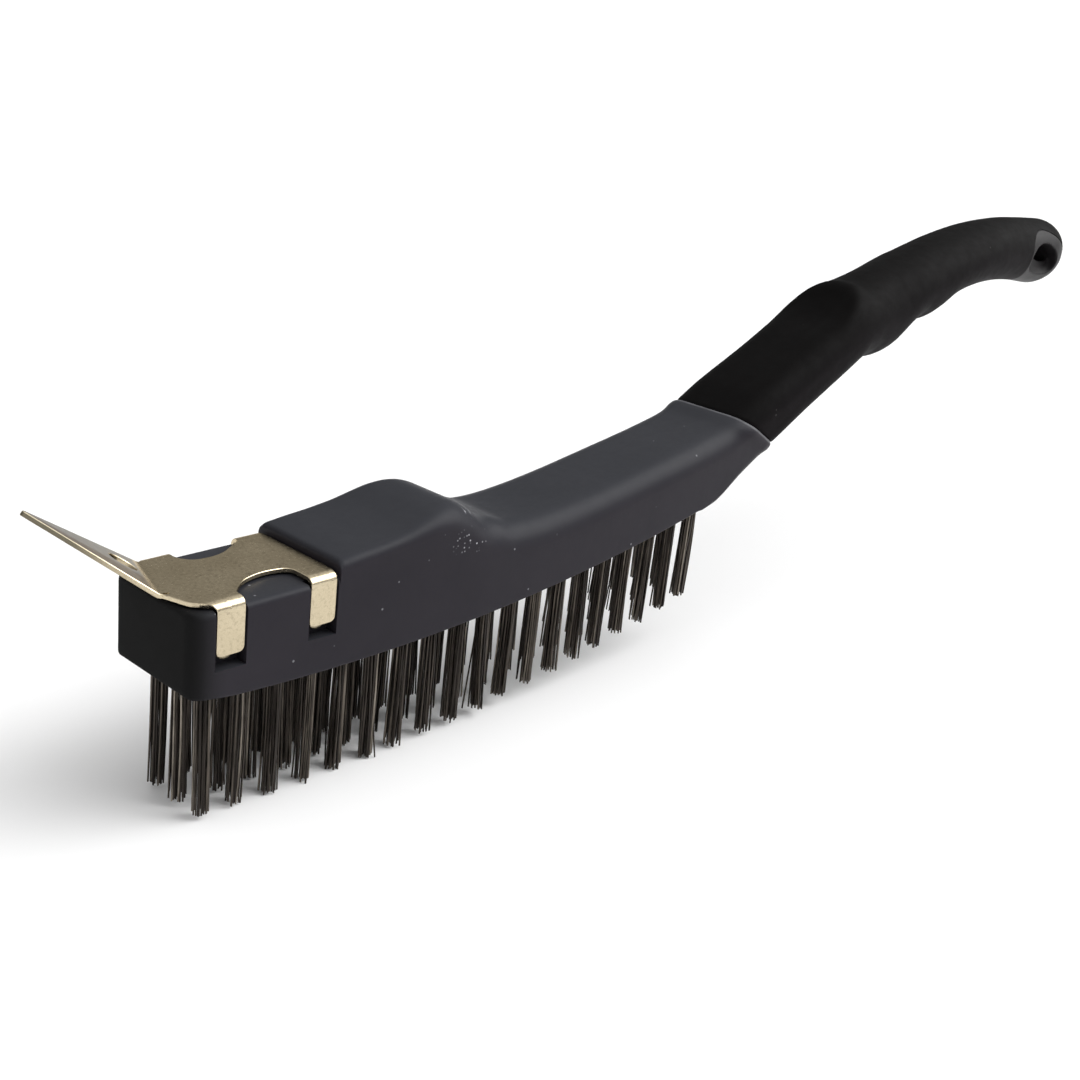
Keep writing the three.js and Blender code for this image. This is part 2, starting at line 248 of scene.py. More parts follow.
def joint_station():
    u = JOINT[0]
    for _ in range(40):
        u = JOINT[0] - (float(mid_height(np.array(u))) - JOINT[1]) * math.tan(JOINT_TILT)
    return u


def rings(stations, plan):
    """Rings of points, one for each station."""
    n, m = len(stations), len(plan)
    u = np.repeat(np.asarray(stations, float), m)
    every = np.tile(plan, (n, 1))
    x = u.copy()
    tilt = lean(u) * (u > 104)
    for _ in range(16):
        y, z = surface(x, every)
        x = x + (u - (z - mid_height(u)) * tilt - x) / (1 + 0.45 * tilt)
    y, z = surface(x, every)
    return np.stack([x, y, z], 1).reshape(n, m, 3)


def joint_distance(p):
    """Signed distance behind the joint plane."""
    return (p[..., 0] - JOINT[0]) * math.cos(JOINT_TILT) + (p[..., 2] - JOINT[1]) * math.sin(JOINT_TILT)


def pushed(ring, amount):
    """A ring moved outwards, across the handle, by an amount for each point."""
    v = ring - ring.mean(0)
    v[:, 0] = 0
    v /= np.maximum(np.linalg.norm(v, axis=1, keepdims=True), 1e-6)
    return ring + v * amount[:, None]


def shrink(ring, amount):
    """A ring drawn in towards its own middle line by about amount."""
    centre = ring.mean(0)
    v = ring - centre
    length = np.linalg.norm(v[:, 1:], axis=1, keepdims=True)
    return centre + v * (1 - amount / np.maximum(length, amount * 1.01))


# ---- mesh helpers ----
def tube_faces(count, n, start=0):
    i = np.arange(n)
    j = (i + 1) % n
    faces = []
    for s in range(count - 1):
        a = start + s * n
        faces += np.stack([a + i, a + j, a + n + j, a + n + i], 1).tolist()
    return faces


def capped_tube(count, n, start=0):
    """Faces of a tube over rings of n points, closed at both ends."""
    last = start + (count - 1) * n
    ends = [list(range(start, start + n))[::-1], list(range(last, last + n))]
    return tube_faces(count, n, start) + ends


def oval(centre, half, turn, y, n):
    """Points of an oval in the side view, at y."""
    points = []
    c, s = math.cos(turn), math.sin(turn)
    for i in range(n):
        a = 2 * math.pi * i / n
        u, v = half[0] * math.cos(a), half[1] * math.sin(a)
        points.append([centre[0] + u * c - v * s, y, centre[1] + u * s + v * c])
    return points


def mesh_object(name, points, faces, material, angle=35):
    mesh = bpy.data.meshes.new(name)
    mesh.from_pydata(place(points).tolist(), [], faces)
    mesh.validate()
    mesh.update()
    o = bpy.data.objects.new(name, mesh)
    bpy.context.scene.collection.objects.link(o)
    finish_mesh(o, material, angle)
    return o


def finish_mesh(o, material, angle=35):
    bm = bmesh.new()
    bm.from_mesh(o.data)
    bmesh.ops.remove_doubles(bm, verts=bm.verts, dist=1e-7)
    bmesh.ops.recalc_face_normals(bm, faces=bm.faces)
    bm.to_mesh(o.data)
    bm.free()
    o.data.materials.clear()
    o.data.materials.append(material)
    o.data.shade_smooth()
    o.data.set_sharp_from_angle(angle=math.radians(angle))


def lofted(name, ring_list, material, angle=35):
    """Closed shell over rings, with each end filled by a fan."""
    pts = np.concatenate(ring_list)
    n, count = len(ring_list[0]), len(ring_list)
    faces = tube_faces(count, n)
    pts = np.vstack([pts, ring_list[0].mean(0), ring_list[-1].mean(0)])
    first, last = len(pts) - 2, len(pts) - 1
    base = (count - 1) * n
    for i in range(n):
        j = (i + 1) % n
        faces.append([first, j, i])
        faces.append([last, base + i, base + j])
    return mesh_object(name, pts, faces, material, angle)


def apply_modifiers(o):
    dg = bpy.context.evaluated_depsgraph_get()
    mesh = bpy.data.meshes.new_from_object(o.evaluated_get(dg))
    o.modifiers.clear()
    old = o.data
    o.data = mesh
    bpy.data.meshes.remove(old)


def boolean(o, cutter, operation):
    m = o.modifiers.new("cut", "BOOLEAN")
    m.operation = operation
    m.solver = "EXACT"
    m.object = cutter
    apply_modifiers(o)
    bpy.data.objects.remove(cutter)


def softened(o, voxel, rounds):
    """Remeshed evenly and smoothed a little, so that cut edges turn into small radii."""
    m = o.modifiers.new("even", "REMESH")
    m.mode = "VOXEL"
    m.voxel_size = voxel / 1000
    m = o.modifiers.new("ease", "SMOOTH")
    m.factor = 0.5
    m.iterations = rounds
    apply_modifiers(o)


# ---- folds of the scraper clip ----
FOLD_FAR = np.array([2.75, 11.3])
FOLD_NEAR = np.array([-1.8, -3.4])
BLADE_TIP = np.array([-19.9, 10.0, 32.8])
EDGE = TAB_FACE - BEND
FOLD_INNER = 0.9
TAB_LENGTH = math.pi / 2 * BEND


def plate_top(x):
    return PLATE_TOP + SLOPE * x


def fold_frame():
    far = np.array([*FOLD_FAR, plate_top(FOLD_FAR[0])])
    near = np.array([*FOLD_NEAR, plate_top(FOLD_NEAR[0])])
    along = (far - near) / np.linalg.norm(far - near)
    reach = BLADE_TIP - near
    flat_normal = np.array([-SLOPE, 0, 1]) / math.hypot(1, SLOPE)
    level_out = np.cross(flat_normal, along)
    out = reach - along * (reach @ along)
    out /= np.linalg.norm(out)
    angle = math.atan2(out @ flat_normal, out @ level_out)
    return near, along, level_out, flat_normal, angle


NEAR, ALONG, OUT, UP, FOLD_ANGLE = fold_frame()
TRIM = FOLD_INNER * math.tan(FOLD_ANGLE / 2)
ARC = FOLD_INNER * FOLD_ANGLE


# ---- materials ----
def greys(*stops):
    return [(position, (v, v, v)) for position, v in stops]


class Graph:
    """Short calls for the shader nodes used here, in one material or world."""

    def __init__(self, tree):
        self.nodes, self.links = tree.nodes, tree.links

    def node(self, kind, **settings):
        n = self.nodes.new(kind)
        for key, value in settings.items():
            setattr(n, key, value)
        return n

    def feed(self, socket, value):
        """Link an output to a socket, or set the socket's own number or colour."""
        if isinstance(value, bpy.types.NodeSocket):
            self.links.new(value, socket)
        elif isinstance(value, tuple):
            socket.default_value = (*value, 1)
        else:
            socket.default_value = value

    def fill(self, sockets, values):
        for name, value in values.items():
            self.feed(sockets[name], value)

    def noise(self, vector, scale, detail=3.0, rough=0.55, distort=0.0):
        n = self.node("ShaderNodeTexNoise")
        self.fill(n.inputs, {"Vector": vector, "Scale": scale, "Detail": detail, "Roughness": rough,
                             "Distortion": distort})
        return n.outputs["Fac"]

    def ramp(self, value, stops):
        r = self.node("ShaderNodeValToRGB")
        e = r.color_ramp.elements
        while len(e) < len(stops):
            e.new(0.5)
        for item, (position, colour) in zip(e, stops):
            item.position = position
            item.color = (*colour, 1)
        self.links.new(value, r.inputs["Fac"])
        return r.outputs["Color"]

    def scaled(self, vector, scale, location=(0, 0, 0)):
        m = self.node("ShaderNodeMapping")
        m.inputs["Location"].default_value = location
        m.inputs["Scale"].default_value = scale
        self.links.new(vector, m.inputs["Vector"])
        return m.outputs["Vector"]

    def maths(self, operation, a, b):
        m = self.node("ShaderNodeMath", operation=operation)
        self.feed(m.inputs[0], a)
        self.feed(m.inputs[1], b)
        return m.outputs["Value"]

    def times(self, a, b):
        return self.maths("MULTIPLY", a, b)

    def mixed(self, factor, a, b):
        m = self.node("ShaderNodeMix", data_type="RGBA")
        self.fill(m.inputs, {"Factor": factor, "A": a, "B": b})
        return m.outputs["Result"]

    def rescaled(self, value, low, high, kind="SMOOTHSTEP", top=1.0):
        """0 to top as the value goes from low to high."""
        m = self.node("ShaderNodeMapRange", interpolation_type=kind)
        self.fill(m.inputs, {"From Min": low, "From Max": high, "To Max": top})
        self.links.new(value, m.inputs["Value"])
        return m.outputs["Result"]

    def dot(self, vector, direction):
        n = self.node("ShaderNodeVectorMath", operation="DOT_PRODUCT")
        self.links.new(vector, n.inputs[0])
        n.inputs[1].default_value = direction
        return n.outputs["Value"]

    def height_of(self, vector):
        split = self.node("ShaderNodeSeparateXYZ")
        self.links.new(vector, split.inputs[0])
        return split.outputs["Z"]

    def normal(self):
        return self.node("ShaderNodeNewGeometry").outputs["Normal"]

    def specks(self, vector, scale, full, none, channel, picked):
        """Round specks, and how strongly a random channel of each one's cell picks it."""
        cells = self.node("ShaderNodeTexVoronoi")
        self.fill(cells.inputs, {"Scale": scale, "Vector": vector})
        size = self.ramp(cells.outputs["Distance"], greys((full, 1), (none, 0)))
        colour = self.node("ShaderNodeSeparateColor")
        self.links.new(cells.outputs["Color"], colour.inputs[0])
        return size, self.ramp(colour.outputs[channel], greys((picked[0], 0), (picked[1], 1)))

    def near_point(self, vector, centre, radii):
        """1 at a point of the object, falling to 0 at the radii, all in mm of the design frame."""
        c = place([centre])[0]
        scale = [1000 / r for r in radii]
        v = self.scaled(vector, scale, [-a * b for a, b in zip(c, scale)])
        length = self.node("ShaderNodeVectorMath", operation="LENGTH")
        self.links.new(v, length.inputs[0])
        return self.rescaled(length.outputs["Value"], 1.0, 0.25)

    def along_axis(self, vector, origin, direction, start, end):
        """0 to 1 as the distance from origin along direction goes from start to end, in mm."""
        d = np.array(direction, float)
        d /= np.linalg.norm(d)
        base = float(place([origin])[0] @ d)
        return self.rescaled(self.dot(vector, d), base + start / 1000, base + end / 1000)

    def edge_line(self, vector):
        """1 on the last half millimetre in front of the joint plane, where the block ends."""
        origin = (JOINT[0], 0, JOINT[1])
        normal = (math.cos(JOINT_TILT), 0, math.sin(JOINT_TILT))
        return self.along_axis(vector, origin, normal, -1.0, -0.55)

    def facing_up(self, start, end):
        """0 to 1 as the height of the surface normal goes from start to end."""
        return self.rescaled(self.height_of(self.normal()), start, end, "LINEAR")

    def blade_face(self):
        """1 on the two flat faces of the blade, 0 on its cut edges."""
        flat = OUT * math.sin(FOLD_ANGLE) - UP * math.cos(FOLD_ANGLE)
        return self.rescaled(self.maths("ABSOLUTE", self.dot(self.normal(), flat), 0.0), 0.7, 0.9)

    def bumps(self, skin, layers):
        """Each layer is a height, a strength and a distance in metres."""
        normal = None
        for height, strength, distance in layers:
            b = self.node("ShaderNodeBump")
            self.fill(b.inputs, {"Strength": strength, "Distance": distance, "Height": height})
            if normal is not None:
                self.links.new(normal, b.inputs["Normal"])
            normal = b.outputs["Normal"]
        self.links.new(normal, skin["Normal"])


def material(name):
    """A new material, its graph, the inputs of its shader and the object's coordinates."""
    m = bpy.data.materials.new(name)
    m.use_nodes = True
    g = Graph(m.node_tree)
    coord = g.node("ShaderNodeTexCoord")
    return m, g, g.nodes["Principled BSDF"].inputs, coord.outputs["Object"]


# marks on the block, and the painted shade on the nose: middle and radii, mm
KNOCKED = ((65.2, -12.6, 18.6), (7.0, 4.5, 3.6))
SCRATCHED = ((65.6, -6.4, 24.3), (3.4, 7.5, 3.0))
PAINTED_NOSE_SHADE = ((-3.0, 0.0, 10.0), (10.0, 52.0, 48.0))


def moulded_plastic():
    m, g, skin, obj = material("slate_plastic")
    broad = g.noise(obj, 34, 4, 0.6)
    cloud = g.noise(obj, 420, 3, 0.6)
    grain = g.noise(obj, 3600, 2, 0.5)
    # painted light and shade: the tops are given a lighter, bluer colour than the sides, though the block
    # is one plastic
    painted_top = g.ramp(broad, [(0.3, (0.0240, 0.0250, 0.0300)), (0.7, (0.0290, 0.0300, 0.0355))])
    painted_side = g.ramp(broad, [(0.3, (0.0165, 0.0147, 0.0192)), (0.7, (0.0205, 0.0183, 0.0232))])
    base = g.mixed(g.facing_up(0.1, 0.9), painted_side, painted_top)
    # small pale nicks scattered all over, thickest below the rear of the hump
    dot, rare = g.specks(obj, 520, 0.10, 0.17, "Red", (0.968, 0.972))
    chip, often = g.specks(obj, 1250, 0.16, 0.30, "Green", (0.66, 0.95))
    nick = g.times(g.times(often, g.near_point(obj, *KNOCKED)), chip)
    nick = g.maths("MAXIMUM", nick, g.times(g.times(rare, 0.35), dot))
    # fine scratches over the rear rim of the hump
    lines = g.noise(g.scaled(obj, (2600, 160, 900)), 1.0, 2, 0.4, 0.6)
    thin = g.ramp(lines, greys((0.60, 0), (0.66, 1)))
    scratch = g.times(thin, g.near_point(obj, *SCRATCHED))
    marks = g.maths("MAXIMUM", nick, g.times(scratch, 0.9))
    # painted shade: the nose is darkened towards its front face, and its roughness raised there to dim
    # its reflection
    nose_shade_mask = g.near_point(obj, *PAINTED_NOSE_SHADE)
    base = g.mixed(nose_shade_mask, base, (0.006, 0.006, 0.006))
    # pale patchy line along the block's rear edge at the joint with the grip
    base = g.mixed(g.times(g.edge_line(obj), cloud), base, (0.16, 0.16, 0.17))
    rough = g.ramp(cloud, greys((0.25, 0.37), (0.75, 0.46)))
    g.fill(skin, {
        "Base Color": g.mixed(marks, base, (0.42, 0.42, 0.45)),
        "Roughness": g.mixed(nose_shade_mask, rough, (0.80, 0.80, 0.80)),
        "IOR": 1.5,
        "Specular IOR Level": 0.095,
    })
    g.bumps(skin, [(cloud, 0.08, 0.0002), (grain, 0.16, 0.00006), (marks, 0.25, 0.0001)])
    return m


def tail_plastic():
    m, g, skin, obj = material("tail_plastic")
    broad = g.noise(obj, 120, 4, 0.6)
    fine = g.noise(obj, 2400, 2, 0.5)
    g.fill(skin, {
        "Base Color": g.ramp(broad, [(0.3, (0.0090, 0.0080, 0.0088)), (0.7, (0.0130, 0.0116, 0.0124))]),
        "Roughness": g.ramp(broad, greys((0.3, 0.40), (0.7, 0.50))),
        "Specular IOR Level": 0.11,
    })
    g.bumps(skin, [(broad, 0.10, 0.0004), (fine, 0.10, 0.00005)])
    return m


def soft_rubber():
    m, g, skin, obj = material("soft_grip_rubber")
    broad = g.noise(obj, 26, 4, 0.6)
    cloud = g.noise(obj, 300, 4, 0.6)
    grain = g.noise(obj, 3000, 2, 0.6)
    # painted light and shade: the grip's top is given a darker colour than its sides, though it is one
    # rubber
    painted_top = g.ramp(broad, [(0.3, (0.0011, 0.0008, 0.0008)), (0.7, (0.0017, 0.0013, 0.0013))])
    painted_side = g.ramp(broad, [(0.3, (0.0042, 0.0032, 0.0039)), (0.7, (0.0056, 0.0043, 0.0052))])
    base = g.mixed(g.facing_up(-0.1, 0.6), painted_side, painted_top)
    lint, rare = g.specks(obj, 330, 0.07, 0.12, "Red", (0.955, 0.96))
    lint = g.times(g.times(lint, rare), 0.3)
    g.fill(skin, {
        "Base Color": g.mixed(lint, base, (0.10, 0.095, 0.09)),
        "Roughness": g.ramp(cloud, greys((0.25, 0.58), (0.75, 0.70))),
        "Specular IOR Level": 0.045,
        "Sheen Weight": 0.004,
        "Sheen Roughness": 0.5,
    })
    g.bumps(skin, [(cloud, 0.12, 0.0003), (grain, 0.22, 0.00008)])
    return m


def plated_sheet():
    m, g, skin, obj = material("plated_sheet_metal")
    broad = g.noise(obj, 90, 4, 0.6)
    mottle = g.noise(obj, 1500, 4, 0.7)
    stain = g.noise(obj, 620, 5, 0.7, 0.4)
    base = g.ramp(broad, [(0.3, (0.54, 0.460, 0.318)), (0.7, (0.64, 0.552, 0.392))])
    base = g.mixed(g.ramp(stain, greys((0.60, 0), (0.72, 0.6))), base, (0.24, 0.19, 0.14))
    base = g.mixed(g.ramp(mottle, greys((0.34, 0.40), (0.50, 0.0))), base, (0.27, 0.22, 0.15))
    # the blade: painted shade on its faces, a brown band along its near edge and a dull dark silver
    # beyond it, standing in for the dark reflection they show
    foot = NEAR + ALONG * 6.2
    run = (BLADE_TIP - foot) / np.linalg.norm(BLADE_TIP - foot)
    across = ALONG - run * (ALONG @ run)
    band = g.along_axis(obj, foot, across, 0.7, -0.7)
    blade_shade_tone = g.mixed(band, (0.185, 0.18, 0.17), (0.085, 0.064, 0.046))
    # painted shade: the outer part of the blade, which shows on its cut edges, darkened to hold down the
    # highlight they catch
    outer = g.times(g.along_axis(obj, NEAR, OUT, 3.0, 15.0), 0.9)
    base = g.mixed(outer, base, (0.13, 0.117, 0.086))
    on_blade = g.along_axis(obj, NEAR, OUT, 0.4, 1.6)
    cloudy = g.ramp(stain, greys((0.2, 0.75), (0.6, 1.0)))
    # where the painted shade of the blade faces goes, patchy; it also lowers the metal's shine
    shaded_blade = g.times(on_blade, g.times(cloudy, g.blade_face()))
    rough = g.ramp(mottle, greys((0.3, 0.22), (0.7, 0.28)))
    g.fill(skin, {
        "Base Color": g.mixed(shaded_blade, base, blade_shade_tone),
        "Roughness": g.mixed(shaded_blade, rough, (0.40, 0.40, 0.40)),
        "Metallic": g.ramp(shaded_blade, greys((0.0, 1.0), (1.0, 0.45))),
        "Specular Tint": (0.84, 0.77, 0.66),
    })
    streak = g.noise(g.scaled(obj, (500, 5200, 5200)), 1.0, 2, 0.5)
    g.bumps(skin, [(broad, 0.10, 0.0006), (mottle, 0.06, 0.00008), (streak, 0.10, 0.00004)])
    return m


def steel_wire():
    m, g, skin, obj = material("oxidised_wire")
    each = g.node("ShaderNodeNewGeometry").outputs["Random Per Island"]
    along = g.noise(g.scaled(obj, (900, 900, 150)), 1.0, 3, 0.6)
    tone = g.ramp(each, [(0.0, (0.020, 0.016, 0.013)), (0.45, (0.045, 0.037, 0.031)),
                         (0.8, (0.13, 0.11, 0.09)), (1.0, (0.34, 0.30, 0.25))])
    dull = g.ramp(along, greys((0.35, 0.0), (0.65, 0.6)))
    g.fill(skin, {
        "Base Color": g.mixed(dull, tone, (0.022, 0.018, 0.015)),
        "Metallic": 0.75,
        "Roughness": g.ramp(along, greys((0.3, 0.34), (0.7, 0.52))),
    })
    g.bumps(skin, [(along, 0.2, 0.00005)])
    return m


PLASTIC = moulded_plastic()
TAIL = tail_plastic()
RUBBER = soft_rubber()
PLATED = plated_sheet()
WIRE = steel_wire()

# ---- block and neck ----
PLAN = ring_plan()
joint_u = joint_station()


def block_stations():
    nose = [NOSE_X + d for d in (0, 0.03, 0.1, 0.22, 0.4, 0.6, 0.85, 1.15, 1.5, 2.0, 2.5, 3.0)]
    seat = list(np.linspace(3, SEAT_END - 0.12, 30)) + [SEAT_END - 0.001]
    rim = [SEAT_END + d for d in (0, 0.04, 0.12, 0.25, 0.42, 0.65, 0.95, 1.25)]
    rest = list(np.linspace(33, joint_u - 1.2, 134))
    end = [joint_u - d for d in (0.7, 0.35, 0.12)]
    return nose + seat + rim + rest + end


def build_block():
    shell = list(rings(block_stations(), PLAN))
    for i, ring in enumerate(shell):
        back = -joint_distance(ring)
        if i > 60:
            lip = 0.5 * np.exp(-(((back - 1.9) / 1.9) ** 2)) - 0.45 * np.exp(-((back / 0.4) ** 2))
            shell[i] = pushed(ring, lip)
    shell.append(shrink(shell[-1], 1.2) + np.array([0.05, 0, 0]))
    o = lofted("block_and_neck", shell, PLASTIC)
    cut_points, cut_faces = [], []

    def add_box(low, high):
        start = len(cut_points)
        for i in range(8):
            cut_points.append([(low, high)[(i >> k) & 1][k] for k in range(3)])
        for f in ((0, 2, 3, 1), (4, 5, 7, 6), (0, 1, 5, 4), (2, 6, 7, 3), (0, 4, 6, 2), (1, 3, 7, 5)):
            cut_faces.append([start + k for k in f])

    for first in TAB_STARTS:
        x = first + TAB_WIDTH / 2
        z = TAB_FOOT + TAB_RISE * x - POCKET_DROP
        for side in (-1, 1):
            ys = sorted((side * (HALF_WIDTH + 1.0), side * (HALF_WIDTH - POCKET_DEPTH)))
            add_box((first - POCKET_PLAY, ys[0], z), (first + TAB_WIDTH + POCKET_PLAY, ys[1], POCKET_TOP))
    n = 20
    for i in range(COLUMNS):
        x = FIRST + PITCH * i
        z = float(brush_face(x))
        for _, y in ROWS:
            start = len(cut_points)
            for h in (z - 3, z + HOLE_DEPTH):
                for k in range(n):
                    a = 2 * math.pi * k / n
                    cut_points.append([x + HOLE_RADIUS * math.cos(a), y + HOLE_RADIUS * math.sin(a), h])
            cut_faces += capped_tube(2, n, start)
    cutter = mesh_object("cutter", cut_points, cut_faces, PLASTIC)
    boolean(o, cutter, "DIFFERENCE")
    finish_mesh(o, PLASTIC, 32)
    return o


# ---- grip sleeve and tail ----
def tail_stations(first):
    body = list(np.linspace(first, TAIL_END - TAIL_ROUND, max(3, int((332 - first) / 1.1))))
    end = [TAIL_END - TAIL_ROUND + TAIL_ROUND * math.sin(t * math.pi / 2)
           for t in np.linspace(0.06, 0.985, 18)]
    return body + end


def window_cutter(grow):
    n = 160
    half = [r + grow for r in WINDOW_RADII]
    points = [p for y in (-30.0, 30.0) for p in oval(WINDOW, half, WINDOW_TILT, y, n)]
    return mesh_object("window_cutter", points, capped_tube(2, n), RUBBER)


def eye_cutter():
    """Hanging hole: a wide scoop in each side, closing in to a lip, then a plain tunnel."""
    n = 96
    # distance from the middle plane, two ovals and the share of the second
    rows = [(16.0, EYE_WIDE, EYE_WIDE, 0), (10.6, EYE_RIM, EYE_WIDE, 0.12), (9.8, EYE_RIM, EYE_LIP, 0)]
    for t in (0.15, 0.3, 0.45, 0.6, 0.75, 0.9):
        rows.append((9.8 - 3.4 * t, EYE_RIM, EYE_LIP, 1 - math.sqrt(1 - t**1.6)))
    rows += [(6.3, EYE_LIP, EYE_LIP, 0), (5.9, EYE_LIP, EYE_BORE, 0.5), (5.2, EYE_BORE, EYE_BORE, 0)]
    both = [(-y, a, b, t) for y, a, b, t in rows] + [(y, a, b, t) for y, a, b, t in reversed(rows)]
    points = []
    for y, first, second, t in both:
        cx, cz, rx, rz, turn = [p + (q - p) * t for p, q in zip(first, second)]
        points += oval((cx, cz), (rx, rz), turn, y, n)
    return mesh_object("eye_cutter", points, capped_tube(len(both), n), TAIL)


def build_sleeve():
    start = [joint_u + d for d in (0.12, 0.3, 0.6, 1.0)]
    plan = ring_plan(12, 8, 14)
    body = list(np.linspace(joint_u + 1.6, 300, 130))
    shell = list(rings(start + body + tail_stations(301.2), plan))
    for i in range(12):
        ahead = joint_distance(shell[i])
        drop = 0.12 * np.exp(-((ahead / 4.0) ** 2)) + 0.3 * np.exp(-((ahead / 0.4) ** 2))
        shell[i] = pushed(shell[i], -drop)
    shell.insert(0, shrink(shell[0], 1.4) - np.array([0.05, 0, 0]))
    o = lofted("grip_sleeve_skin", shell, RUBBER, 50)
    boolean(o, window_cutter(0.1), "DIFFERENCE")
    finish_mesh(o, RUBBER, 50)
    return o


def build_tail():
    shell = list(rings(tail_stations(296.0), ring_plan(16, 12, 18)))
    o = lofted("tail_eye", shell, TAIL, 50)
    boolean(o, window_cutter(-0.06), "INTERSECT")
    boolean(o, eye_cutter(), "DIFFERENCE")
    softened(o, 0.26, 5)
    finish_mesh(o, TAIL, 60)
    return o


# ---- scraper clip: one flat blank, folded ----
def fold_coords(x, y):
    """Along the fold and out past it, for points of the flat blank."""
    dx, dy = x - NEAR[0], y - NEAR[1]
    flat = ALONG[:2] / np.linalg.norm(ALONG[:2])
    return dx * flat[0] + dy * flat[1], dy * flat[0] - dx * flat[1]


def folded(x, y):
    """Top surface point and normal of the folded clip for a point of the flat blank."""
    side = np.sign(y)
    past = np.maximum(0, np.abs(y) - EDGE)
    phi = np.clip(past / BEND, 0, math.pi / 2)
    straight = np.maximum(0, past - TAB_LENGTH)
    tab = past > 0
    top = plate_top(x)
    py = np.where(tab, side * (EDGE + BEND * np.sin(phi)), y)
    pz = np.where(tab, top - BEND * (1 - np.cos(phi)) - straight, top)
    pos = np.stack([x, py, pz], -1)
    nor = np.stack([-SLOPE * np.cos(phi), side * np.sin(phi), np.cos(phi)], -1)
    along, out = fold_coords(x, y)
    out = out + TRIM
    blade = (out > 0) & ~tab_zone(x, y)
    turn = np.clip(out / FOLD_INNER, 0, FOLD_ANGLE)
    rest = np.maximum(0, out - ARC)
    level = FOLD_INNER * np.sin(turn) + rest * math.cos(FOLD_ANGLE) - TRIM
    rise = FOLD_INNER * (1 - np.cos(turn)) + rest * math.sin(FOLD_ANGLE)
    bpos = NEAR + along[:, None] * ALONG + level[:, None] * OUT + rise[:, None] * UP
    bnor = np.cos(turn)[:, None] * UP - np.sin(turn)[:, None] * OUT
    pos = np.where(blade[:, None], bpos, pos)
    nor = np.where(blade[:, None], bnor, nor)
    return pos, nor / np.linalg.norm(nor, axis=1, keepdims=True)


def tab_zone(x, y):
    first = TAB_STARTS[0]
    return (np.abs(y) > EDGE) & (x > first - 0.9)


def rounded(points, radii, step=0.35):
    """Closed outline with each corner rounded by its own radius, as dense points."""
    p = np.array(points, float)
    n = len(p)
    out = []
    for i in range(n):
        a, b, c = p[i - 1], p[i], p[(i + 1) % n]
        u, v = a - b, c - b
        lu, lv = np.linalg.norm(u), np.linalg.norm(v)
        r = min(radii[i], 0.49 * lu, 0.49 * lv)
        s, e = b + u / lu * r, b + v / lv * r
        count = max(2, int(math.ceil(1.6 * r / step)) + 1)
        for k in range(count):
            t = k / (count - 1)
            out.append((1 - t) ** 2 * s + 2 * t * (1 - t) * b + t * t * e)
    dense = []
    for i in range(len(out)):
        a, b = out[i], out[(i + 1) % len(out)]
        length = np.linalg.norm(b - a)
        if length < 1e-4:
            continue
        for k in range(max(1, int(round(length / step)))):
            dense.append(a + (b - a) * k / max(1, int(round(length / step))))
    return np.array(dense)


def blade_blank():
    """Tip and near corners of the blade on the flat blank."""
    reach = BLADE_TIP - NEAR
    a = reach @ ALONG
    out = reach - ALONG * a
    length = np.linalg.norm(out) + (ARC - 2 * TRIM)
    flat_along = np.array([ALONG[0], ALONG[1]]) / np.linalg.norm(ALONG[:2])
    flat_out = np.array([-flat_along[1], flat_along[0]])

    def at(along, beyond):
        return FOLD_NEAR + flat_along * along + flat_out * beyond

    return at, a, length


def outward(loop):
    """Unit normals of a closed loop of points, pointing to its right."""
    d = np.roll(loop, -1, 0) - np.roll(loop, 1, 0)
    d /= np.maximum(np.linalg.norm(d, axis=1, keepdims=True), 1e-9)
    return np.stack([d[:, 1], -d[:, 0]], 1)


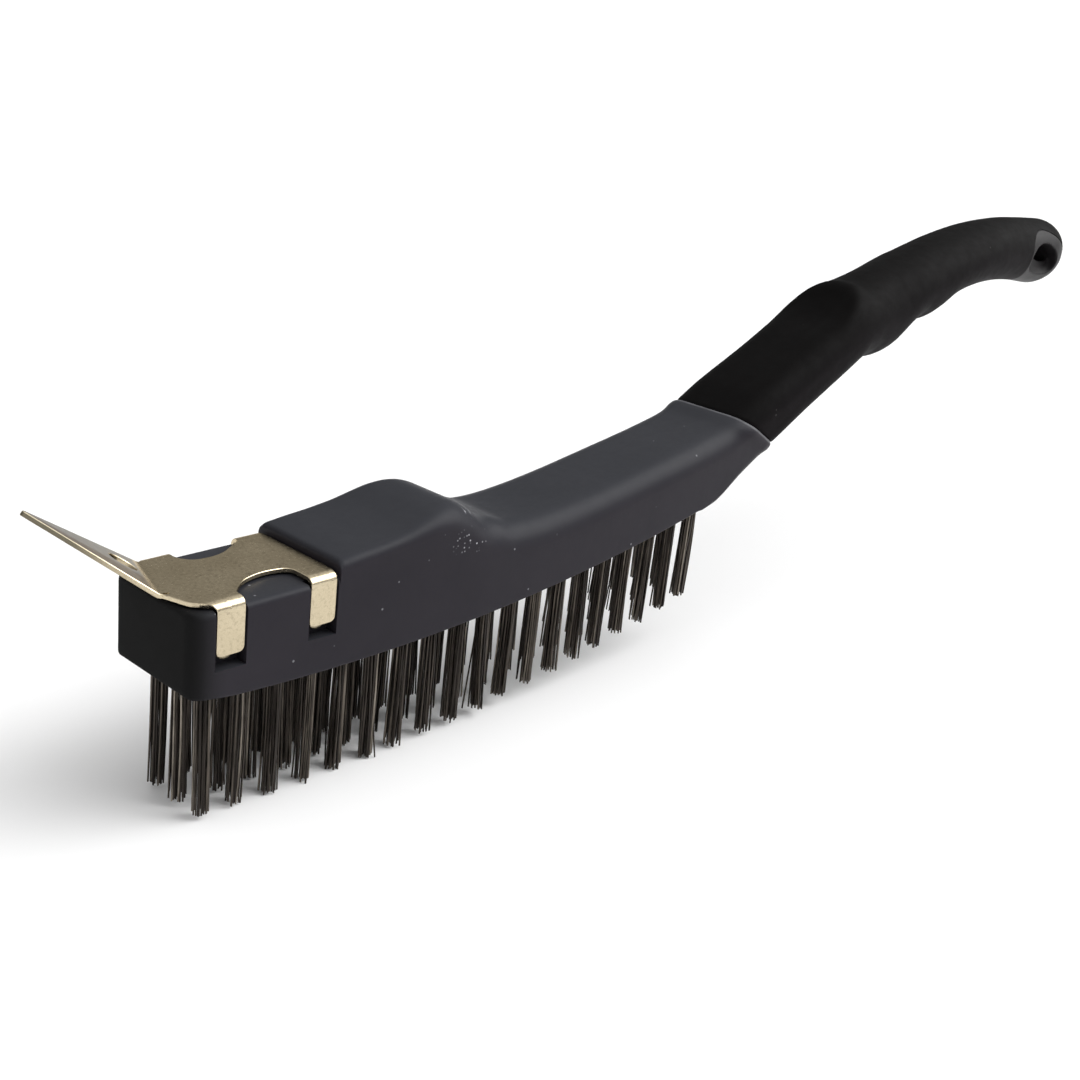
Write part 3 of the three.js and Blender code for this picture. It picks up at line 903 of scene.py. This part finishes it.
def build_clip():
    at, tip_along, length = blade_blank()
    width = np.linalg.norm(FOLD_FAR - FOLD_NEAR)
    tab_end = EDGE + TAB_LENGTH
    corners, radii = [], []

    def corner(point, radius):
        corners.append(point)
        radii.append(radius)

    def tab_corners(first, side, order):
        x0, x1 = (first, first + TAB_WIDTH) if order > 0 else (first + TAB_WIDTH, first)
        for x in (x0, x1):
            top = plate_top(first + TAB_WIDTH / 2) - BEND
            foot = TAB_FOOT + TAB_RISE * (first + TAB_WIDTH / 2)
            corner((x, side * (tab_end + top - foot)), 1.3)

    # counter-clockwise from the notch: near front, tabs, rear, far side, fold, blade
    corner(at(-0.7, -0.7), 0.15)
    corner((0.2, -9.2), 0.6)
    corner((1.5, -10.7), 1.2)
    corner((TAB_STARTS[0], -12.6), 1.3)
    tab_corners(TAB_STARTS[0], -1, 1)
    corner((TAB_STARTS[0] + TAB_WIDTH, -11.6), 0.5)
    corner((TAB_STARTS[0] + TAB_WIDTH, -9.6), 1.2)
    corner((13.2, -6.2), 2.6)
    corner((18.6, -4.7), 4.0)
    corner((24.3, -5.9), 2.6)
    corner((TAB_STARTS[1], -10.2), 0.9)
    tab_corners(TAB_STARTS[1], -1, 1)
    corner((TAB_STARTS[1] + TAB_WIDTH, -11.4), 0.3)
    corner((30.45, -10.6), 0.4)
    corner((30.45, 10.6), 0.4)
    corner((TAB_STARTS[1] + TAB_WIDTH, 11.4), 0.3)
    tab_corners(TAB_STARTS[1], 1, -1)
    corner((TAB_STARTS[1], 10.4), 0.9)
    corner((22.6, 9.3), 1.5)
    corner((17.2, 6.0), 3.5)
    corner((11.6, 6.4), 2.0)
    corner((TAB_STARTS[0] + TAB_WIDTH, 9.0), 1.2)
    corner((TAB_STARTS[0] + TAB_WIDTH, 11.6), 0.5)
    tab_corners(TAB_STARTS[0], 1, -1)
    corner((TAB_STARTS[0], 12.2), 0.4)
    corner(at(width - 0.02, -0.5), 0.25)
    corner(at(width - 0.02, 0.6), 0.3)
    corner(at(tip_along + 0.35, length - 0.2), 0.3)
    corner(at(tip_along - 0.3, length + 0.05), 0.3)
    corner(at(0.0, 0.6), 0.5)
    corner(at(-0.45, -0.9), 0.5)
    corner(at(-0.25, -1.9), 0.4)
    corner(at(0.35, -1.5), 0.35)
    corner(at(0.35, -0.35), 0.2)
    corner(at(-0.2, -0.3), 0.15)
    loop = rounded(corners, radii)
    if np.sum(loop[:, 0] * np.roll(loop[:, 1], -1) - np.roll(loop[:, 0], -1) * loop[:, 1]) < 0:
        loop = loop[::-1]
    (along, out), (half_along, half_out) = BLADE_HOLE, BLADE_HOLE_HALF
    hole = np.array([at(along + half_along * math.cos(a), out + half_out * math.sin(a))
                     for a in np.linspace(0, -2 * math.pi, 64, endpoint=False)])
    loops = [loop, hole]
    rims = [line - outward(line) * CUT_EDGE for line in loops]
    verts = [Vector(p) for line in rims for p in line]
    edges, start = [], 0
    for line in rims:
        n = len(line)
        edges += [(start + i, start + (i + 1) % n) for i in range(n)]
        start += n
    low, high = loop.min(0) - 1, loop.max(0) + 1
    step = 0.55
    inner = np.array([(x, y) for x in np.arange(low[0], high[0], step)
                      for y in np.arange(low[1], high[1], step)])
    allowed = inside(inner, rims[0]) & ~inside(inner, rims[1])
    boundary = np.concatenate(rims)
    far_enough = np.array([np.min(np.sum((boundary - p) ** 2, 1)) > 0.09 for p in inner])
    inner = inner[allowed & far_enough]
    verts += [Vector(p) for p in inner]
    out_v, _, out_f, orig, _, _ = delaunay_2d_cdt(verts, edges, [], 0, 1e-6)
    flat = np.array([[v.x, v.y] for v in out_v])
    tris = np.array([f for f in out_f if len(f) == 3])
    middle = flat[tris].mean(1)
    tris = tris[inside(middle, rims[0]) & ~inside(middle, rims[1])]
    where = {}
    for i, sources in enumerate(orig):
        for s in sources:
            where[s] = i
    top_p, top_n = folded(flat[:, 0], flat[:, 1])
    count = len(flat)
    points = [top_p, top_p - top_n * SHEET]
    faces = [list(t) for t in tris] + [[b + count for b in reversed(t)] for t in tris.tolist()]
    start, base = 0, 2 * count
    for line in loops:
        n = len(line)
        p, nor = folded(line[:, 0], line[:, 1])
        points += [p - nor * CUT_EDGE, p - nor * (SHEET - CUT_EDGE)]
        top = [where[start + i] for i in range(n)]
        a, b = base, base + n
        for i in range(n):
            j = (i + 1) % n
            faces.append([top[i], a + i, a + j, top[j]])
            faces.append([a + i, b + i, b + j, a + j])
            faces.append([b + i, top[i] + count, top[j] + count, b + j])
        start += n
        base += 2 * n
    return mesh_object("scraper_clip_sheet", np.concatenate(points), faces, PLATED, 42)


def inside(points, loop):
    """Which points lie inside a closed loop."""
    x, y = points[:, 0], points[:, 1]
    result = np.zeros(len(points), bool)
    a = loop
    b = np.roll(loop, -1, 0)
    for (x0, y0), (x1, y1) in zip(a, b):
        crosses = (y0 > y) != (y1 > y)
        if abs(y1 - y0) > 1e-12:
            result ^= crosses & (x < (x1 - x0) * (y - y0) / (y1 - y0) + x0)
    return result


def build_lugs():
    """Rounded lugs behind the feet of the tabs."""
    pts, faces = [], []
    n = 40
    profile = [(0.0, 0.0), (1.5, 0.0), (1.85, 0.1), (2.03, 0.35), (2.05, 0.6), (2.05, 1.2), (0.0, 1.2)]
    for first in TAB_STARTS:
        x = first + TAB_WIDTH / 2
        foot = TAB_FOOT + TAB_RISE * x
        for side in (-1, 1):
            start = len(pts)
            for radius, depth in profile:
                for i in range(n):
                    a = 2 * math.pi * i / n
                    r = max(radius, 0.02)
                    pts.append([x + r * math.cos(a), side * (TAB_FACE - LUG_INSET - depth),
                                foot + LUG_RISE + r * math.sin(a)])
            faces += capped_tube(len(profile), n, start)
    return mesh_object("clip_lugs", pts, faces, PLATED, 30)


# ---- wires ----
def build_tuft(row, index, y):
    rng = np.random.default_rng(100 * index + {"near": 1, "middle": 2, "far": 3}[row])
    x = FIRST + PITCH * (index - 1)
    z = float(brush_face(x))
    pts, faces = [], []
    sides, levels = 6, 7
    spots = [(0.0, 0.0)]
    for ring_r, n in ((0.52, 6), (1.02, 12), (1.45, 13)):
        turn = rng.uniform(0, 6.28)
        angles = [turn + 2 * math.pi * k / n for k in range(n)]
        spots += [(ring_r * math.cos(a), ring_r * math.sin(a)) for a in angles]
    lean_x, lean_y = rng.normal(0, 0.25, 2)
    for sx, sy in spots:
        if rng.uniform() < 0.12:
            continue
        wire = rng.uniform(0.17, 0.21)
        sx, sy = sx + rng.normal(0, 0.08), sy + rng.normal(0, 0.08)
        spread = rng.normal(1.06, 0.10)
        stray = rng.uniform() < 0.05
        drift = rng.normal(0, 0.9 if stray else 0.16, 2)
        bow = rng.normal(0, 0.12, 2)
        length = REACH - abs(rng.normal(0, 0.55)) - (rng.uniform(0, 2.5) if rng.uniform() < 0.08 else 0)
        start = len(pts)
        for k in range(levels):
            t = k / (levels - 1)
            depth = 2.5 - (length + 2.5) * t
            f = max(0.0, -depth / REACH)
            flare, sway, belly = 1 + (spread - 1) * f, f**1.5, math.sin(math.pi * f)
            cx = x + sx * flare + (lean_x + drift[0]) * sway + bow[0] * belly
            cy = y + sy * flare + (lean_y + drift[1]) * sway + bow[1] * belly
            slant = rng.uniform(-0.15, 0.15) if k == levels - 1 else 0
            for s in range(sides):
                a = 2 * math.pi * s / sides
                pts.append([cx + wire * math.cos(a), cy + wire * math.sin(a),
                            z + depth + slant * math.cos(a)])
        faces += capped_tube(levels, sides, start)
    return mesh_object(f"wires_{row}_{index:02d}", pts, faces, WIRE, 60)


def add(piece, slot, *nodes):
    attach(piece, "root")
    if nodes:
        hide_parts(*nodes)


add(build_block(), "body_plastic", "body_core")
add(build_tail(), "body_plastic", "body_core")
add(build_sleeve(), "soft_grip", "grip_sleeve")
add(build_clip(), "plated_sheet", "scraper_clip")
add(build_lugs(), "plated_sheet", "scraper_clip")
for column in range(1, COLUMNS + 1):
    for row_name, row_y in ROWS:
        add(build_tuft(row_name, column, row_y), "steel_wire", f"tuft_{row_name}_{column:02d}")


# ---- stage, light and camera ----
SKY = 0.86
# height of the direction and brightness: horizon, walls, ceiling
SKY_BY_HEIGHT = ((0.0, 1.35), (0.05, 1.35), (0.12, 0.34), (0.45, 0.30), (0.62, 0.80), (1.0, 1.0))
# direction, half-angles where the box ends and where it is full, brightness
SOFTBOXES = (
    ((0.74, -0.40, 0.62), 30, 16, 4.1),
    ((0.10, -0.25, 0.96), 34, 12, 0.7),
    ((0.30, -0.56, 0.76), 22, 10, 3.2),
)


def build_floor():
    m, g, skin, obj = material("pale_floor")
    g.fill(skin, {
        "Base Color": g.ramp(g.noise(obj, 3, 3, 0.5), greys((0.3, 0.86), (0.7, 0.88))),
        "Roughness": 0.8,
        "Specular IOR Level": 0.1,
    })
    bm = bmesh.new()
    bmesh.ops.create_grid(bm, x_segments=8, y_segments=8, size=30)
    mesh = bpy.data.meshes.new("floor")
    bm.to_mesh(mesh)
    bm.free()
    mesh.materials.append(m)
    o = bpy.data.objects.new("floor", mesh)
    bpy.context.scene.collection.objects.link(o)


def build_world():
    """Even studio sky: dim walls, a bright ceiling and soft boxes."""
    world = bpy.data.worlds.new("studio")
    bpy.context.scene.world = world
    world.use_nodes = True
    g = Graph(world.node_tree)
    direction = g.node("ShaderNodeTexCoord").outputs["Generated"]
    total = g.times(g.ramp(g.height_of(direction), greys(*SKY_BY_HEIGHT)), SKY)
    for towards, outer, inner, power in SOFTBOXES:
        dot = g.dot(direction, Vector(towards).normalized())
        edges = math.cos(math.radians(outer)), math.cos(math.radians(inner))
        total = g.maths("ADD", total, g.rescaled(dot, *edges, top=power))
    g.links.new(total, g.nodes["Background"].inputs["Color"])


def build_camera():
    data = bpy.data.cameras.new("camera")
    data.sensor_width = 36
    data.lens = 46.38
    data.clip_start, data.clip_end = 0.01, 100
    o = bpy.data.objects.new("camera", data)
    spot = place([(-127.654, -197.002, 117.165)])[0]
    right = Vector((0.678493, -0.726223, 0.110671))
    up = Vector((0.180352, 0.310717, 0.933235))
    back = Vector((-0.712124, -0.613234, 0.341795))
    turn = Matrix((right, up, back)).transposed()
    o.matrix_world = Matrix.Translation(Vector(spot)) @ turn.to_4x4()
    bpy.context.scene.collection.objects.link(o)
    bpy.context.scene.camera = o


build_floor()
build_world()
build_camera()
bpy.context.scene.view_settings.view_transform = "Standard"
